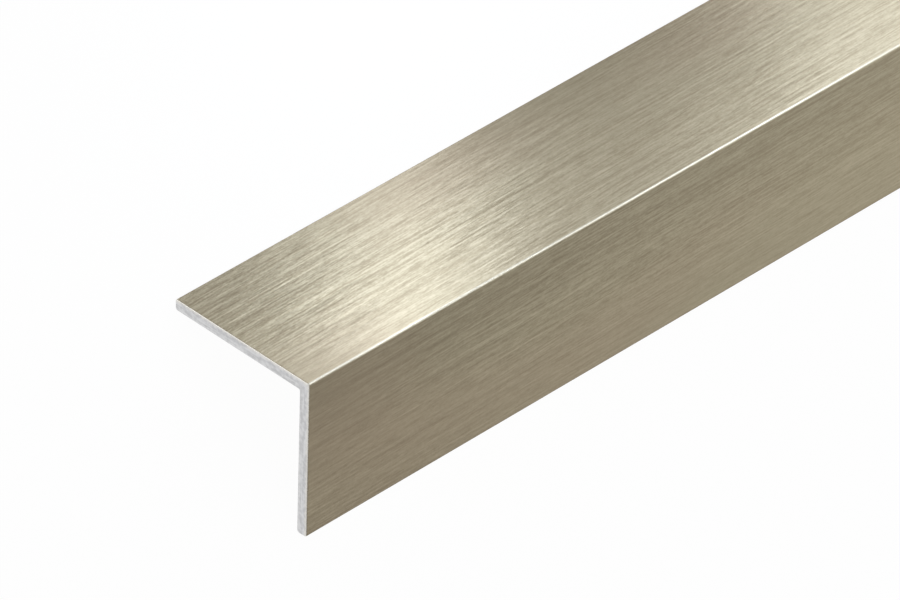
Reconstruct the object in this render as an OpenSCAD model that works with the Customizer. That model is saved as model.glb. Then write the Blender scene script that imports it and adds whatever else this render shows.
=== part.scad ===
// Aluminium angle section: one extruded bar with two legs at a right angle.
// It lies unheld on a level floor, corner up, on the toes of both legs.
// The bar runs along X. Z = 0 is the floor, and the origin is under the middle of the bar.

/* [Section] */
// Width of the leg on the +Y side, from the outer corner to its toe
leg_a_w = 15; // [5:0.5:60]
// Width of the leg on the -Y side, from the outer corner to its toe
leg_b_w = 15; // [5:0.5:60]
// Wall of both legs
wall_t = 1; // [0.8:0.1:3]

/* [Edges] */
// Radius along the outer corner
ridge_r = 0.15; // [0.1:0.05:0.7]
// Radius along the outer edge of each toe
toe_r = 0.12; // [0.1:0.01:0.35]
// Radius along the inner edge of each toe, on which the bar rests
toe_in_r = 0.25; // [0.15:0.01:0.35]
// Radius along the inner corner
root_r = 0.15; // [0.1:0.05:1.2]

/* [Bar] */
// Length between the two sawn ends
bar_l = 1000; // [100:50:6000]
// Depth of the filed edge round each sawn end
filed_w = 0.1; // [0.05:0.01:0.15]

/* [Hidden] */
$fn = 64;
// What a cutter reaches past the face that it cuts
over = 1;
// Tilt about X that brings both toes down to the floor
rest_tilt = atan2(leg_b_w - wall_t, leg_a_w - wall_t);
// Height of the sharp outer corner when the inner edge of each toe is on the floor
corner_h = (leg_a_w - toe_in_r) * sin(rest_tilt) + (wall_t - toe_in_r) * cos(rest_tilt) + toe_in_r;
// How far the outer edges of the two toes reach from the outer corner along Y
reach_a = (leg_a_w - toe_r) * cos(rest_tilt) - toe_r * sin(rest_tilt) + toe_r;
reach_b = (leg_b_w - toe_r) * sin(rest_tilt) - toe_r * cos(rest_tilt) + toe_r;
// Champagne anodising
alu_colour = [0.66, 0.61, 0.50];

// What a radius r takes off a corner at the origin, with the metal in the +X +Y quadrant
module corner_waste(r) {
    difference() {
        translate([-over, -over]) square(r + over);
        translate([r, r]) circle(r);
    }
}

// One leg's section, with its outer face on y = 0 and the metal below it.
// The outer corner is at the origin and the toe at x = w.
module leg_outline(w) {
    difference() {
        translate([0, -wall_t]) square([w, wall_t]);
        mirror([0, 1]) corner_waste(ridge_r);
        translate([w, 0]) rotate(180) corner_waste(toe_r);
        translate([w, -wall_t]) mirror([1, 0]) corner_waste(toe_in_r);
    }
}

// What one pass of a file takes off the edge between the end at x = 0 and a face on z = 0.
// The pass reaches run to both sides of the corner.
module filed_waste(run) {
    rotate([90, 0, 0])
        linear_extrude(height = 2 * run, center = true)
            polygon([[-over, over], [-over, -filed_w - over], [filed_w + over, over]]);
}

// One leg at its full length, with the edges of both ends filed
module leg(w) {
    // Each side's turn about X and its distance from the corner: outer face, toe, inner face, corner
    sides = [[0, 0], [-90, w], [180, wall_t], [90, 0]];
    difference() {
        rotate([90, 0, 90]) linear_extrude(height = bar_l) leg_outline(w);
        for (side = sides, end = [0, 1])
            translate([end * bar_l, 0, 0])
                mirror([end, 0, 0])
                    rotate([side[0], 0, 0])
                        translate([0, 0, side[1]]) filed_waste(w + wall_t + over);
    }
}

// The rounded inner corner, flared by the file at both ends
module root_fillet() {
    block = root_r + filed_w;
    centre = wall_t + root_r;
    difference() {
        translate([0, wall_t - filed_w, -centre]) cube([bar_l, block, block]);
        translate([-over, centre, -centre]) rotate([0, 90, 0]) cylinder(h = bar_l + 2 * over, r = root_r);
        for (end = [0, 1])
            translate([end * bar_l, centre, -centre])
                rotate([0, 90 - 180 * end, 0]) cylinder(h = filed_w, r1 = root_r + filed_w, r2 = root_r);
    }
}

// The bar in its section's own axes: leg A level under z = 0, leg B hanging down at y = 0
module bar() {
    leg(leg_a_w);
    // Leg B is leg A's shape mirrored in the line that halves the corner
    mirror([0, 1, 1]) leg(leg_b_w);
    root_fillet();
}

module angle_section() {
    color(alu_colour)
        translate([-bar_l / 2, (reach_b - reach_a) / 2, corner_h])
            rotate([-rest_tilt, 0, 0]) bar();
}

angle_section();
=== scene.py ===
# A brushed champagne angle section, lying corner up on a pale studio floor.
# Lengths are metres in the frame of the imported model. The bar runs along X and its near end is the
# one at -X. Leg A slopes down to +Y and leg B to -Y.
from math import cos, pi, radians, sin, sqrt, tau

import bpy
import numpy as np
from mathutils import Matrix, Quaternion, Vector


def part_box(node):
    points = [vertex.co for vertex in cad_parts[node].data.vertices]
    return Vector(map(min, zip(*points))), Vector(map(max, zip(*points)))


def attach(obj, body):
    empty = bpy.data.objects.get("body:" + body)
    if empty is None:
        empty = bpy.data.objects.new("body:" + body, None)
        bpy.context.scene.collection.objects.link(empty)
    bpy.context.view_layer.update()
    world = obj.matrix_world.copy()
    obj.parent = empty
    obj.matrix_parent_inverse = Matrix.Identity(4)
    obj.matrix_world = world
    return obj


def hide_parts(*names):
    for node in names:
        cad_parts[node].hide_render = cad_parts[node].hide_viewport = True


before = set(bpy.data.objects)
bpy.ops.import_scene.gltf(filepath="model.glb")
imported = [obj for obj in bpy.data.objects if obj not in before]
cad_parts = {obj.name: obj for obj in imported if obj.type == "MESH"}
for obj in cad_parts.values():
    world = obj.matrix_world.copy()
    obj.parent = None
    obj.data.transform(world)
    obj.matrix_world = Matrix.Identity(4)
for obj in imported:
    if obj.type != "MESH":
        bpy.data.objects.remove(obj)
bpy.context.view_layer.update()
nodeLow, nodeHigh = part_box("angle_section")
scene = bpy.context.scene
print("frame loaded:", [round(v, 4) for v in nodeHigh - nodeLow])


# The bar

bar = {
    "legWidth": 0.015,  # outer corner to toe
    "wall": 0.001,
    "ridgeRadius": 0.00015,  # along the outer corner
    "toeRadius": 0.00012,  # along the outer edge of each toe
    "toeInnerRadius": 0.00025,  # along the inner edge, on which the bar rests
    "rootRadius": 0.00015,  # along the inner corner
    "filedEdge": 0.0001,  # round each sawn end
    "filedWander": 0.16,  # share by which the filed edge's width wanders round the section
    "fileWaves": [(5, 0.5), (13, 0.3), (29, 0.2)],  # each one's times round the section, and share
    "filePhases": (0.4, 1.7),  # where they start, at the near end and at the far end
    "bendSteps": 12,  # steps round each radius
    # How far the ridge's wear and painted highlight, and the toes' darker colour, fade out onto the
    # flat before each bend, and onto the flat after it
    "shoulderBefore": [0.00001, 0.00012, 0.00005, 0.00001, 0.00001, 0.00001],
    "shoulderAfter": 0.00001,
    "edgeSteps": 6,  # steps over the filed edge
    "span": 0.025,  # spacing of the rings along the bar
    "brushedBends": 3,  # the bends that get the brushed finish, from leg A's toe: toe, ridge, toe
    "ridgeWearAndSheen": [0.3, 1.0, 0.9, 0.3, 0.1],  # from leg A to leg B; 1 is palest: partly rubbed wear, partly a painted highlight that sets where the ridge's bright line lies
    "toeShade": -1.0,  # darker colour on the outer edge of each toe
}

brushedSlot, plainSlot, bareSlot = 0, 1, 2  # the order in which the finishes are put on the bar


def sectionBends(shape):
    # One row per bend of the outline, clockwise from leg A's toe: the bend's centre (u out along
    # leg A and w out along leg B, both from the sharp outer corner), its radius, and the outward
    # normal's angle where it starts and where it ends. The inner corner curves the other way, so
    # its radius is negative.
    leg, wall = shape["legWidth"], shape["wall"]
    ridge, toe, root = shape["ridgeRadius"], shape["toeRadius"], shape["rootRadius"]
    inner = shape["toeInnerRadius"]
    return np.array([
        [leg - toe, toe, toe, 0, -90],  # toe A, outer edge
        [ridge, ridge, ridge, -90, -180],  # ridge
        [toe, leg - toe, toe, -180, -270],  # toe B, outer edge
        [wall - inner, leg - inner, inner, -270, -360],  # toe B, inner edge
        [wall + root, wall + root, -root, 0, 90],  # inner corner
        [leg - inner, wall - inner, inner, 90, 0],  # toe A, inner edge
    ])


def bendColumns(shape):
    # How many points each bend has: its steps + 1, and a shoulder point on the flat at either side
    return shape["bendSteps"] + 3


def sectionRing(shape, inset):
    # Each point is its bend's centre plus (radius - inset) times the normal, and the flats are the
    # gaps between bends. So a bend with a negative radius gets wider as the outline shrinks into
    # the metal. The first and the last point of a bend slide onto the flats by its shoulders.
    bends = sectionBends(shape)
    steps = shape["bendSteps"]
    turn = np.clip(np.arange(-1, steps + 2) / steps, 0, 1)
    slide = np.zeros((len(bends), turn.size))
    slide[:, 0] = -np.array(shape["shoulderBefore"])
    slide[:, -1] = shape["shoulderAfter"]
    angle = np.radians(bends[:, 3:4] + (bends[:, 4:5] - bends[:, 3:4]) * turn)
    normal = np.stack([np.cos(angle), np.sin(angle)], -1)
    onward = np.stack([np.sin(angle), -np.cos(angle)], -1)
    reach = bends[:, 2][:, None] - np.asarray(inset).reshape(-1, turn.size)
    points = bends[:, None, :2] + reach[..., None] * normal + slide[..., None] * onward
    return points.reshape(-1, 2), normal.reshape(-1, 2)


def toFrame(flat, along):
    # The section turned by 45 degrees, corner up: x is the place along the bar,
    # y = (u - w) / sqrt 2 and z = -(u + w) / sqrt 2
    y = (flat[..., 0] - flat[..., 1]) / sqrt(2)
    z = -(flat[..., 0] + flat[..., 1]) / sqrt(2)
    return np.stack([np.broadcast_to(along, y.shape), y, z], -1)


def ringGirth(shape):
    # Distance round the outline of each of its points, which is the sum of the steps before it,
    # and the whole way round
    ring, _ = sectionRing(shape, np.zeros(len(sectionBends(shape)) * bendColumns(shape)))
    step = np.linalg.norm(np.roll(ring, -1, 0) - ring, axis=1)
    return np.concatenate([[0], np.cumsum(step)[:-1]]), step.sum()


def filedWidth(shape, girth, whole, phase):
    # width * (1 + share * (wander - 1)), where the wander is a sum of sine waves that go round the
    # section a whole number of times
    waves = np.array(shape["fileWaves"])
    turn = girth[None] / whole * tau
    wander = (waves[:, 1:] * np.sin(waves[:, :1] * turn + phase * waves[:, :1])).sum(0)
    return shape["filedEdge"] * (1 + shape["filedWander"] * (wander - 1))


def filedEdge(shape, girth, whole, end, outward, phase):
    # Rings from the skin over the filed edge to the sawn end. With t from 0 to 90 degrees, the
    # outline shrinks by width * (1 - cos t) and moves out by width * sin t, so the edge is a
    # quarter round.
    width = filedWidth(shape, girth, whole, phase)
    points, normals = [], []
    for t in np.linspace(0, tau / 4, shape["edgeSteps"] + 1):
        ring, normal = sectionRing(shape, width * (1 - cos(t)))
        points.append(toFrame(ring, end - outward * width * (1 - sin(t))))
        normals.append(cos(t) * toFrame(normal, 0) + sin(t) * outward * np.array([1, 0, 0]))
    return points, normals


def barSurface(shape, low, high):
    # The section's outline carried along X from one filed edge to the other
    girth, whole = ringGirth(shape)
    nearPhase, farPhase = shape["filePhases"]
    nearPoints, nearNormals = filedEdge(shape, girth, whole, low[0], -1, nearPhase)
    farPoints, farNormals = filedEdge(shape, girth, whole, high[0], 1, farPhase)
    middle = np.arange(low[0] + shape["span"], high[0] - shape["span"] / 2, shape["span"])
    flat, normal = sectionRing(shape, np.zeros(girth.size))
    points = nearPoints[::-1] + [toFrame(flat, x) for x in middle] + farPoints
    normals = nearNormals[::-1] + [toFrame(normal, 0)] * middle.size + farNormals
    return np.stack(points), np.stack(normals), girth, whole


def gridFaces(rowCount, ringSize):
    # Quads between each ring and the next, closed round the section
    row, point = np.meshgrid(np.arange(rowCount - 1), np.arange(ringSize), indexing="ij")
    after = (point + 1) % ringSize
    here, there = row * ringSize, (row + 1) * ringSize
    return np.stack([here + point, here + after, there + after, there + point], -1).reshape(-1, 4)


def capFaces(ringSize, first, flip):
    # A sawn end: the outer half of the ring joined straight across the wall to the inner half
    outer = np.arange(ringSize // 2)
    inner = ringSize - 1 - outer
    quads = np.stack([outer[:-1], inner[:-1], inner[1:], outer[1:]], -1) + first
    return quads[:, ::-1] if flip else quads


def faceSlots(shape, rowCount, ringSize, capCount):
    # Each face's finish: brushed round to the flat after the last brushed bend, plain from there
    # on, and bare over both filed edges and on the caps
    plainFrom = shape["brushedBends"] * bendColumns(shape) - 1
    ring = np.where(np.arange(ringSize) < plainFrom, brushedSlot, plainSlot)
    slots = np.tile(ring, (rowCount - 1, 1))
    slots[:shape["edgeSteps"]] = bareSlot
    slots[-shape["edgeSteps"]:] = bareSlot
    return np.concatenate([slots.ravel(), np.full(capCount, bareSlot)]).astype(np.int32)


def mapRoundAndAlong(mesh, points, girth, whole, skinCount):
    # The map holds the distance round the section and the place along the bar, both in metres, at
    # each corner of each face. Where a quad closes the ring, its corners at the ring's start get
    # the whole way round added.
    corner = np.empty(len(mesh.loops), np.int32)
    mesh.loops.foreach_get("vertex_index", corner)
    around = girth[corner % girth.size].reshape(-1, 4)
    closing = np.ptp(around, axis=1) > whole / 2
    closing[skinCount:] = False
    around[closing] += whole * (around[closing] < whole / 2)
    places = np.stack([around.ravel(), points[corner, 0]], -1)
    layer = mesh.uv_layers.new(name="roundAndAlong")
    layer.uv.foreach_set("vector", places.astype(np.float32).ravel())


def ringWearSheenAndToeShade(shape):
    # How pale or dark each point of the ring is painted. The ridge's values, partly rubbed wear and
    # partly a painted highlight, are spread evenly over its bend, the toes' outer edges get the toe
    # shade, which darkens them, and the rest gets 0.
    wearSheenAndToeShade = np.zeros((len(sectionBends(shape)), bendColumns(shape)))
    toeA, ridge, toeB = wearSheenAndToeShade[:3, 1:-1]
    toeA[:] = toeB[:] = shape["toeShade"]
    wear = shape["ridgeWearAndSheen"]
    ridge[:] = np.interp(np.linspace(0, len(wear) - 1, ridge.size), np.arange(len(wear)), wear)
    return wearSheenAndToeShade.ravel()


def makeBar(shape, low, high):
    # The surface and its two caps as one closed mesh, raised until its ridge is as high as the
    # packed one
    points, normals, girth, whole = barSurface(shape, low, high)
    rowCount, ringSize = points.shape[:2]
    points = points.reshape(-1, 3)
    points[:, 2] += high[2] - points[:, 2].max()
    skin = gridFaces(rowCount, ringSize)
    caps = [capFaces(ringSize, 0, False), capFaces(ringSize, (rowCount - 1) * ringSize, True)]
    faces = np.concatenate([skin, *caps])
    mesh = bpy.data.meshes.new("angleBar")
    mesh.from_pydata(points.tolist(), [], faces.tolist())
    slots = faceSlots(shape, rowCount, ringSize, len(faces) - len(skin))
    mesh.polygons.foreach_set("material_index", slots)
    mapRoundAndAlong(mesh, points, girth, whole, len(skin))
    wearSheenAndToeShade = mesh.attributes.new("wearSheenAndToeShade", "FLOAT", "POINT")
    wearSheenAndToeShade.data.foreach_set("value", np.tile(ringWearSheenAndToeShade(shape), rowCount).astype(np.float32))
    mesh.polygons.foreach_set("use_smooth", np.ones(len(faces), bool))
    mesh.update()
    mesh.normals_split_custom_set_from_vertices(normals.reshape(-1, 3).tolist())
    piece = bpy.data.objects.new("angleBar", mesh)
    scene.collection.objects.link(piece)
    return piece


# Finishes

middleTone = 0.5  # halfway from a finish's dark tint to its pale one
alongBar = (1.0, 0.0, 0.0)


def addNode(tree, kind, sockets=None, **settings):
    # A shader node with its settings, and with each named socket linked or set
    made = tree.nodes.new("ShaderNode" + kind)
    for name, value in settings.items():
        setattr(made, name, value)
    for name, value in (sockets or {}).items():
        if isinstance(value, bpy.types.NodeSocket):
            tree.links.new(value, made.inputs[name])
        else:
            made.inputs[name].default_value = value
    return made


def calc(tree, operation, first, second=0.0, third=0.0):
    # One step of arithmetic on up to three numbers, each a socket or a plain number
    return addNode(tree, "Math", {0: first, 1: second, 2: third}, operation=operation).outputs[0]


def vectorCalc(tree, operation, first, second=(0.0, 0.0, 0.0), scale=1.0):
    # The same on two vectors, or on one and the number that the node's socket 3 takes
    sockets = {0: first, 1: second, 3: scale}
    return addNode(tree, "VectorMath", sockets, operation=operation).outputs[0]


def spread(tree, value, low, high, toLow, toHigh):
    # toLow + (toHigh - toLow) * (value - low) / (high - low), held between toLow and toHigh
    sockets = {"Value": value, "From Min": low, "From Max": high, "To Min": toLow, "To Max": toHigh}
    return addNode(tree, "MapRange", sockets).outputs[0]


def newMaterial(name):
    # A material with nothing but one Principled shader on its output
    material = bpy.data.materials.new(name)
    material.use_nodes = True
    tree = material.node_tree
    tree.nodes.clear()
    output = addNode(tree, "OutputMaterial")
    shader = addNode(tree, "BsdfPrincipled")
    tree.links.new(shader.outputs[0], output.inputs["Surface"])
    return material, tree, shader


def streaks(tree, around, along, pattern, detail=0.0):
    # Noise from -1 to 1 at (along / length, around / width, seed); the three make up the pattern
    length, width, seed = pattern
    cell = addNode(tree, "CombineXYZ", {
        "X": calc(tree, "DIVIDE", along, length),
        "Y": calc(tree, "DIVIDE", around, width),
        "Z": seed,
    }).outputs[0]
    sockets = {"Vector": cell, "Scale": 1.0, "Detail": detail}
    return addNode(tree, "TexNoise", sockets, normalize=False).outputs["Fac"]


def mixed(tree, layers):
    # The sum of the layers, each times its share
    total = 0.0
    for value, share in layers:
        total = calc(tree, "MULTIPLY_ADD", value, share, total)
    return total


def leaningNormal(tree, alongLean, aroundLean):
    # normal + alongLean * X + aroundLean * (normal cross X), brought back to a length of 1
    normal = addNode(tree, "NewGeometry").outputs["Normal"]
    across = vectorCalc(tree, "CROSS_PRODUCT", normal, alongBar)
    leaned = vectorCalc(tree, "ADD", normal, vectorCalc(tree, "SCALE", alongBar, scale=alongLean))
    leaned = vectorCalc(tree, "ADD", leaned, vectorCalc(tree, "SCALE", across, scale=aroundLean))
    return vectorCalc(tree, "NORMALIZE", leaned)


def opaque(tint):
    # Red, green and blue, with the alpha that a colour socket wants; a linked tint stays as it is
    return tint if isinstance(tint, bpy.types.NodeSocket) else (*tint, 1.0)


def tintMix(tree, share, first, second):
    # first + (second - first) * share, with the share held between 0 and 1. The Mix node's two
    # colours are its sockets 6 and 7, and its mixed colour is its output 2.
    sockets = {"Factor": share, 6: opaque(first), 7: opaque(second)}
    return addNode(tree, "Mix", sockets, data_type="RGBA").outputs[2]


def barPlace(tree):
    # Distance round the section from leg A's toe, and place along the bar
    place = addNode(tree, "UVMap", uv_map="roundAndAlong").outputs[0]
    split = addNode(tree, "SeparateXYZ", {0: place})
    return split.outputs["X"], split.outputs["Y"]


def drawnAlong(tree, shader, anisotropy):
    # Metal whose highlight spreads across the brushing: its tangent follows the map's first part,
    # round the section
    shader.inputs["Metallic"].default_value = 1.0
    shader.inputs["Anisotropic"].default_value = anisotropy
    tangent = addNode(tree, "Tangent", direction_type="UV_MAP", uv_map="roundAndAlong")
    tree.links.new(tangent.outputs[0], shader.inputs["Tangent"])


brushed = {
    "darkTint": (0.375, 0.312, 0.206),
    "paleTint": (0.53, 0.458, 0.318),
    "warmTint": (0.48, 0.33, 0.24),  # patches of redder film
    # the pale ridge: partly rubbed wear, partly a painted highlight
    "wearAndSheenTint": (0.92, 0.87, 0.72),
    "edgeAndShadeTint": (0.17, 0.145, 0.1),  # the darkest colour: of the darker ends and toe edges, and of the painted shade on the legs
    "roughness": 0.40,
    "wornRoughness": 0.30,
    "grainRoughness": -0.03,  # what a full streak adds
    "anisotropy": 0.9,
    "strokes": {
        # name: length, width, share of the grain, how much it nears leg A's toe per length of bar
        "pits": (0.00025, 0.00012, 0.40, 0.02),
        "grit": (0.0008, 0.00014, 0.44, 0.03),
        "fine": (0.0028, 0.00016, 0.58, 0.025),
        "long": (0.009, 0.00016, 0.50, 0.01),
        "veryLong": (0.030, 0.0002, 0.44, 0.0),
    },
    "tintSeed": 40.7,
    "slopeSeed": 114.7,
    "seedStep": 3.7,  # from one length of stroke to the next
    "contrast": 0.84,  # what a full streak adds to the tone, from 0 for the dark tint to 1 for pale
    # The patterns, here and below, are a cell's length and width, and a seed
    "pressure": (0.06, 0.018, 115.94),  # patches that are brushed more or less hard
    "pressureSwing": 1.2,  # what full pressure adds to the grain's strength of 1
    "stray": (0.009, 0.004, 3.0),
    "strayReach": 0.00008,  # how far a streak strays round the bar
    "alongLean": 0.085,  # how far the grain leans the surface along the bar
    "ripple": (0.005, 0.0003, 91.0),
    "rippleLean": 0.04,  # how far the ripple leans it round the bar
    "warmth": (0.03, 0.016, 1457.19),
    "warmShare": 0.45,  # of the warm tint where the warmth is 1
    # Darker colour next to the sawn end, by the distance from it: where it is full, where it ends,
    # full share
    "endShade": (0.00010, 0.00022, 0.45),
    "paintedLegShades": {
        # name: painted shade, which darkens leg A towards its toe and leg B beside the ridge; the
        # same, by the distance round the section from leg A's toe
        "legA": (0.0, 0.010, 0.12),
        "legB": (0.0152, 0.0237, 0.21),
    },
}


def grainOf(tree, look, around, along, seed):
    # The sum of the strokes of every length, each times its share and at around + drift * along
    layers = []
    for place, (length, width, share, drift) in enumerate(look["strokes"].values()):
        leaned = calc(tree, "MULTIPLY_ADD", along, drift, around)
        pattern = (length, width, seed + look["seedStep"] * place)
        layers.append((streaks(tree, leaned, along, pattern), share))
    return mixed(tree, layers)


def brushedChampagne(look, halfLength):
    # The outside of both legs. Grain and slopes are brushed harder in some patches. The ridge is
    # paler and smoother: partly rubbed wear, partly a painted highlight. The colour is darker next
    # to the sawn ends and along the toes' outer edges, and painted shade darkens leg A a little
    # towards its toe and leg B towards the ridge.
    material, tree, shader = newMaterial("brushedChampagne")
    around, along = barPlace(tree)
    pressure = streaks(tree, around, along, look["pressure"])
    pressure = calc(tree, "MULTIPLY_ADD", pressure, look["pressureSwing"], 1.0)
    warmth = calc(tree, "MULTIPLY", streaks(tree, around, along, look["warmth"]), look["warmShare"])
    stray = streaks(tree, around, along, look["stray"])
    around = calc(tree, "MULTIPLY_ADD", stray, look["strayReach"], around)
    grain = calc(tree, "MULTIPLY", grainOf(tree, look, around, along, look["tintSeed"]), pressure)
    slopes = calc(tree, "MULTIPLY", grainOf(tree, look, around, along, look["slopeSeed"]), pressure)
    wearSheenAndToeShade = addNode(tree, "Attribute", attribute_name="wearSheenAndToeShade").outputs["Fac"]

    start, end, endShare = look["endShade"]
    fromEnd = calc(tree, "SUBTRACT", halfLength, calc(tree, "ABSOLUTE", along))
    shade = spread(tree, fromEnd, start, end, endShare, 0.0)
    shade = calc(tree, "MAXIMUM", shade, calc(tree, "MULTIPLY", wearSheenAndToeShade, -endShare))
    # Painted shade: leg A darker towards its toe and leg B beside the ridge
    for start, end, share in look["paintedLegShades"].values():
        beyond = calc(tree, "GREATER_THAN", around, start)
        paintedLegShade = calc(tree, "MULTIPLY", spread(tree, around, start, end, share, 0.0), beyond)
        shade = calc(tree, "MAXIMUM", shade, paintedLegShade)

    tone = calc(tree, "MULTIPLY_ADD", grain, look["contrast"], middleTone)
    tint = tintMix(tree, tone, look["darkTint"], look["paleTint"])
    tint = tintMix(tree, warmth, tint, look["warmTint"])
    # The pale ridge: partly rubbed wear, partly a painted highlight
    tint = tintMix(tree, wearSheenAndToeShade, tint, look["wearAndSheenTint"])
    # Darker ends and toe edges, and the painted shade on the legs
    tint = tintMix(tree, shade, tint, look["edgeAndShadeTint"])
    tree.links.new(tint, shader.inputs["Base Color"])

    rough = spread(tree, wearSheenAndToeShade, 0.0, 1.0, look["roughness"], look["wornRoughness"])
    rough = calc(tree, "MULTIPLY_ADD", grain, look["grainRoughness"], rough)
    tree.links.new(rough, shader.inputs["Roughness"])
    alongLean = calc(tree, "MULTIPLY", slopes, look["alongLean"])
    ripple = streaks(tree, around, along, look["ripple"])
    aroundLean = calc(tree, "MULTIPLY", ripple, look["rippleLean"])
    tree.links.new(leaningNormal(tree, alongLean, aroundLean), shader.inputs["Normal"])
    drawnAlong(tree, shader, look["anisotropy"])
    return material


plain = {
    "darkTint": (0.40, 0.34, 0.24),
    "paleTint": (0.52, 0.45, 0.32),
    "roughness": 0.46,
    "cloudRoughness": 0.06,
    "anisotropy": 0.4,
    "dieLines": (0.4, 0.00025, 5.0),  # long lines that the extrusion leaves
    "clouds": (0.02, 0.006, 8.0),
    "cloudDetail": 2.0,
    "grit": (0.0004, 0.0003, 13.0),
    "shares": (0.7, 0.5, 0.35),  # of the three in the tint
    "lineLean": 0.05,
    "gritLean": 0.04,
}


def plainChampagne(look):
    # The inside and the toes: as extruded, with faint long lines, slow clouds and a fine grit
    material, tree, shader = newMaterial("plainChampagne")
    around, along = barPlace(tree)
    lines = streaks(tree, around, along, look["dieLines"])
    clouds = streaks(tree, around, along, look["clouds"], look["cloudDetail"])
    grit = streaks(tree, around, along, look["grit"])
    tone = calc(tree, "ADD", mixed(tree, zip((lines, clouds, grit), look["shares"])), middleTone)
    tint = tintMix(tree, tone, look["darkTint"], look["paleTint"])
    tree.links.new(tint, shader.inputs["Base Color"])
    rough = calc(tree, "MULTIPLY_ADD", clouds, look["cloudRoughness"], look["roughness"])
    tree.links.new(rough, shader.inputs["Roughness"])
    alongLean = calc(tree, "MULTIPLY", grit, look["gritLean"])
    aroundLean = calc(tree, "MULTIPLY", lines, look["lineLean"])
    tree.links.new(leaningNormal(tree, alongLean, aroundLean), shader.inputs["Normal"])
    drawnAlong(tree, shader, look["anisotropy"])
    return material


bare = {
    "darkTint": (0.54, 0.54, 0.547),
    "paleTint": (0.70, 0.70, 0.705),
    # the filed rim: partly burnished metal, partly a painted highlight
    "rimAndSheenTint": (0.75, 0.722, 0.666),
    "roughness": 0.40,
    "rimRoughness": 0.27,
    "mottleRoughness": 0.08,
    "marks": (0.0022, 0.00022, 21.0),  # what the saw leaves along each leg
    "mottle": (0.0004, 0.0004, 27.0),
    "detail": 1.0,  # of both
    "shares": (0.8, 0.9),  # of the two in the tint
    "rimFacing": (0.98, 0.85),  # the normal's part along the bar where the rim starts and is full
    # Paler metal inside the outer filed edge, partly burnished and partly a painted highlight, by
    # the depth: where full, where it ends, full share
    "burrAndSheen": (0.00010, 0.00020, 0.35),
    "burrPatches": 1.5,  # how much the mottle breaks it up
}


def bareAluminium(look, cornerHeight):
    # The sawn ends and their filed edges. With down as the corner's height - z, a point's distances
    # from the two outer faces are (down + y) / sqrt 2 and (down - y) / sqrt 2, but for the ridge's
    # rounding. The larger one runs along the leg that the point is in, and the smaller one is its
    # depth in the wall.
    material, tree, shader = newMaterial("bareAluminium")
    split = addNode(tree, "SeparateXYZ", {0: addNode(tree, "TexCoord").outputs["Object"]})
    down = calc(tree, "SUBTRACT", cornerHeight, split.outputs["Z"])
    outA = calc(tree, "MULTIPLY", calc(tree, "ADD", down, split.outputs["Y"]), sqrt(0.5))
    outB = calc(tree, "MULTIPLY", calc(tree, "SUBTRACT", down, split.outputs["Y"]), sqrt(0.5))
    depth = calc(tree, "MINIMUM", outA, outB)
    lengthwise = calc(tree, "MAXIMUM", outA, outB)
    marks = streaks(tree, depth, lengthwise, look["marks"], look["detail"])
    mottle = streaks(tree, depth, lengthwise, look["mottle"], look["detail"])
    tone = calc(tree, "ADD", mixed(tree, zip((marks, mottle), look["shares"])), middleTone)
    tint = tintMix(tree, tone, look["darkTint"], look["paleTint"])

    # The filed rim and a strip inside the outer filed edge are paler: partly burnished metal, partly
    # a painted highlight.
    normal = addNode(tree, "NewGeometry").outputs["Normal"]
    facing = addNode(tree, "SeparateXYZ", {0: normal}).outputs["X"]
    rim = spread(tree, calc(tree, "ABSOLUTE", facing), *look["rimFacing"], 0.0, 1.0)
    start, end, burrShare = look["burrAndSheen"]
    patches = calc(tree, "MULTIPLY_ADD", mottle, look["burrPatches"], 1.0)
    burrAndSheen = calc(tree, "MULTIPLY", spread(tree, depth, start, end, burrShare, 0.0), patches)
    rim = calc(tree, "MAXIMUM", rim, burrAndSheen)
    tree.links.new(tintMix(tree, rim, tint, look["rimAndSheenTint"]), shader.inputs["Base Color"])
    shader.inputs["Metallic"].default_value = 1.0
    rough = spread(tree, rim, 0.0, 1.0, look["roughness"], look["rimRoughness"])
    rough = calc(tree, "MULTIPLY_ADD", mottle, look["mottleRoughness"], rough)
    tree.links.new(rough, shader.inputs["Roughness"])
    return material


piece = makeBar(bar, nodeLow, nodeHigh)
piece.data.materials.append(brushedChampagne(brushed, nodeHigh[0]))
piece.data.materials.append(plainChampagne(plain))
piece.data.materials.append(bareAluminium(bare, nodeHigh[2]))
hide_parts("angle_section")
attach(piece, "root")
print("bar made:", len(piece.data.polygons), "faces")


# The floor

white = (1.0, 1.0, 1.0)

studioFloor = {
    "size": 80.0,
    "matteTint": (0.82, 0.82, 0.82),
    "whiteShare": 0.97,  # how much of what the camera and the metal see of the floor is plain white
}


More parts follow.
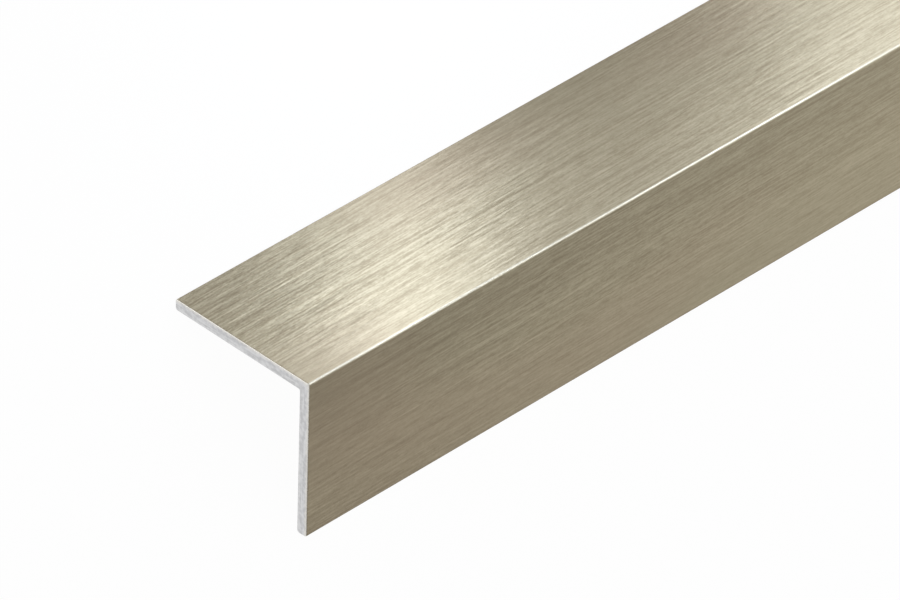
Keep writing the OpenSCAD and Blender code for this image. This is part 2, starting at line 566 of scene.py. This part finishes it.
def makeFloor(look):
    # A level square round the origin. Its surface is matte * (1 - share) + white * share. The share
    # is the white share for rays from the camera, off gloss or through glass, and 0 for others.
    mesh = bpy.data.meshes.new("studioFloor")
    half = look["size"] / 2
    corners = [(-half, -half, 0), (half, -half, 0), (half, half, 0), (-half, half, 0)]
    mesh.from_pydata(corners, [], [(0, 1, 2, 3)])
    floor = bpy.data.objects.new("studioFloor", mesh)
    scene.collection.objects.link(floor)
    material = bpy.data.materials.new("paleFloor")
    material.use_nodes = True
    tree = material.node_tree
    tree.nodes.clear()
    matte = addNode(tree, "BsdfDiffuse", {"Color": opaque(look["matteTint"])})
    glow = addNode(tree, "Emission", {"Color": opaque(white), "Strength": 1.0})
    rays = addNode(tree, "LightPath").outputs
    seen = calc(tree, "MAXIMUM", rays["Is Camera Ray"], rays["Is Glossy Ray"])
    seen = calc(tree, "MAXIMUM", seen, rays["Is Transmission Ray"])
    share = calc(tree, "MULTIPLY", seen, look["whiteShare"])
    surface = addNode(tree, "MixShader", {0: share, 1: matte.outputs[0], 2: glow.outputs[0]})
    addNode(tree, "OutputMaterial", {"Surface": surface.outputs[0]})
    mesh.materials.append(material)
    return floor


floor = makeFloor(studioFloor)
print("floor made")


# Light

coolWhite = (0.878, 0.954, 1.0)

studio = {
    "ambient": 0.14,  # of the room from all round
    "brighterParts": {
        # name: the direction's axis, its values where the part starts and is full, what it adds
        "ceiling": ("Z", 0.86, 0.95, 0.9),
        "nearHalf": ("X", 0.35, 0.1, 0.45),
        "farWall": ("X", 0.85, 0.97, 0.45),
    },
    "panels": {
        # name: centre, what it faces, width and height, radiance, colour
        "rimBox": ((-0.75, 0.9, 0.25), (-0.5, 0.0, 0.0), (0.9, 0.4), 1.35, white),
        "ridgeBox": ((-0.235, 0.01, 0.305), (-0.455, 0.0, 0.006), (0.25, 0.12), 2.35, white),
        "sideBox": ((-0.18, -0.27, 0.23), (-0.45, 0.0, 0.006), (0.175, 0.175), 1.7, coolWhite),
        "sideFar": ((-0.395, -0.049, 0.013), (-0.43, 0.0, 0.006), (0.04, 0.02), 0.16, coolWhite),
        "overBar": ((0.24, 0.0, 0.12), (0.24, 0.0, 0.0), (1.2, 0.26), 0.5, white),
    },
}

bandGlow = {
    "colour": (0.738, 0.835, 1.0),
    "lead": 0.73,  # how far a panel is ahead of what it faces, as a share of its distance
    "panels": {
        # name: place along from the near end, distance from the bar's middle line, degrees of rise,
        # width, height, radiance
        "start": (0.018, 0.035, 36, 0.028, 0.0155, 3.15),
        "rise": (0.033, 0.035, 22, 0.0125, 0.0155, 2.75),
        "crest": (0.0365, 0.035, 24, 0.0125, 0.0155, 1.9),
        "peak": (0.0405, 0.035, 14, 0.0125, 0.0155, 2.1),
        "foot": (0.044, 0.035, 14, 0.0125, 0.0155, 0.9),
        "tail": (0.0585, 0.05, 14, 0.018, 0.022, 1.25),
        "middle": (0.0585, 0.035, 50, 0.028, 0.0155, 2.5),
        "far": (0.073, 0.03, 50, 0.016, 0.012, 3.7),
        "farRidge": (0.088, 0.0285, 25, 0.022, 0.012, 3.2),
        "second": (0.129, 0.07, 11, 0.028, 0.031, 2.8),
    },
}


def addLamp(name, centre, target, size, radiance, colour):
    # An ellipse that faces the target, with its width as near along the bar as that allows. Its
    # energy is pi * area * radiance.
    data = bpy.data.lights.new(name, "AREA")
    data.shape = "ELLIPSE"
    data.size, data.size_y = size
    data.energy = pi * (pi / 4 * size[0] * size[1]) * radiance
    data.color = colour
    lamp = bpy.data.objects.new(name, data)
    scene.collection.objects.link(lamp)
    lamp.location = centre
    back = (Vector(centre) - Vector(target)).normalized()
    side = (Vector((1, 0, 0)) - back * back.x).normalized()
    lamp.rotation_mode = "QUATERNION"
    lamp.rotation_quaternion = Matrix((side, back.cross(side), back)).transposed().to_quaternion()
    lamp.visible_camera = False


def addBandGlow(glow, low, high):
    # Small panels beside leg A, which draw the slanting bright band across its brushing. Each one
    # is out from the bar's middle line by distance * cos rise and up by distance * sin rise, and it
    # faces that line at lead * distance nearer to the near end.
    middle = (low + high) / 2
    for name, (along, distance, rise, width, height, radiance) in glow["panels"].items():
        out = distance * cos(radians(rise))
        up = distance * sin(radians(rise))
        centre = (low[0] + along, out, middle[2] + up)
        target = (low[0] + along - glow["lead"] * distance, 0.0, middle[2])
        addLamp(name + "Glow", centre, target, (width, height), radiance, glow["colour"])


def makeRoom(look):
    # White light from all round. A direction's strength is the ambient one plus what each brighter
    # part adds there.
    world = bpy.data.worlds.new("studio")
    world.use_nodes = True
    tree = world.node_tree
    direction = addNode(tree, "SeparateXYZ", {0: addNode(tree, "TexCoord").outputs["Generated"]})
    strength = look["ambient"]
    for part, start, full, added in look["brighterParts"].values():
        more = spread(tree, direction.outputs[part], start, full, 0.0, added)
        strength = calc(tree, "ADD", strength, more)
    background = tree.nodes["Background"].inputs
    background["Color"].default_value = opaque(white)
    tree.links.new(strength, background["Strength"])
    return world


for name, panel in studio["panels"].items():
    addLamp(name, *panel)
addBandGlow(bandGlow, nodeLow, nodeHigh)
scene.world = makeRoom(studio)
print("lamps made:", len(bpy.data.lights))


# The camera

view = {
    "target": (-0.47667, -0.00015, 0.0),  # on the floor, in the middle of the picture
    "distance": 0.79,
    "azimuth": -3.09,  # of the way it looks, in degrees from +X towards +Y
    "elevation": 55.1,  # degrees that it looks down
    "roll": 63.9,  # degrees about the way it looks
    "lens": 397.3,  # millimetres, as is the sensor
    "sensor": 36.0,
    "nearest": 0.01,
}


def makeCamera(look):
    # It stands at target - distance * forward, looks forward, and is rolled about that line
    data = bpy.data.cameras.new("camera")
    data.lens = look["lens"]
    data.sensor_width = look["sensor"]
    data.clip_start = look["nearest"]
    camera = bpy.data.objects.new("camera", data)
    scene.collection.objects.link(camera)
    azimuth = radians(look["azimuth"])
    elevation = radians(look["elevation"])
    level = cos(elevation)
    forward = Vector((cos(azimuth) * level, sin(azimuth) * level, -sin(elevation)))
    camera.location = Vector(look["target"]) - look["distance"] * forward
    camera.rotation_mode = "QUATERNION"
    roll = Quaternion((0, 0, 1), radians(look["roll"]))
    camera.rotation_quaternion = forward.to_track_quat("-Z", "Y") @ roll
    return camera


scene.camera = makeCamera(view)
scene.view_settings.view_transform = "Standard"
print("camera made")
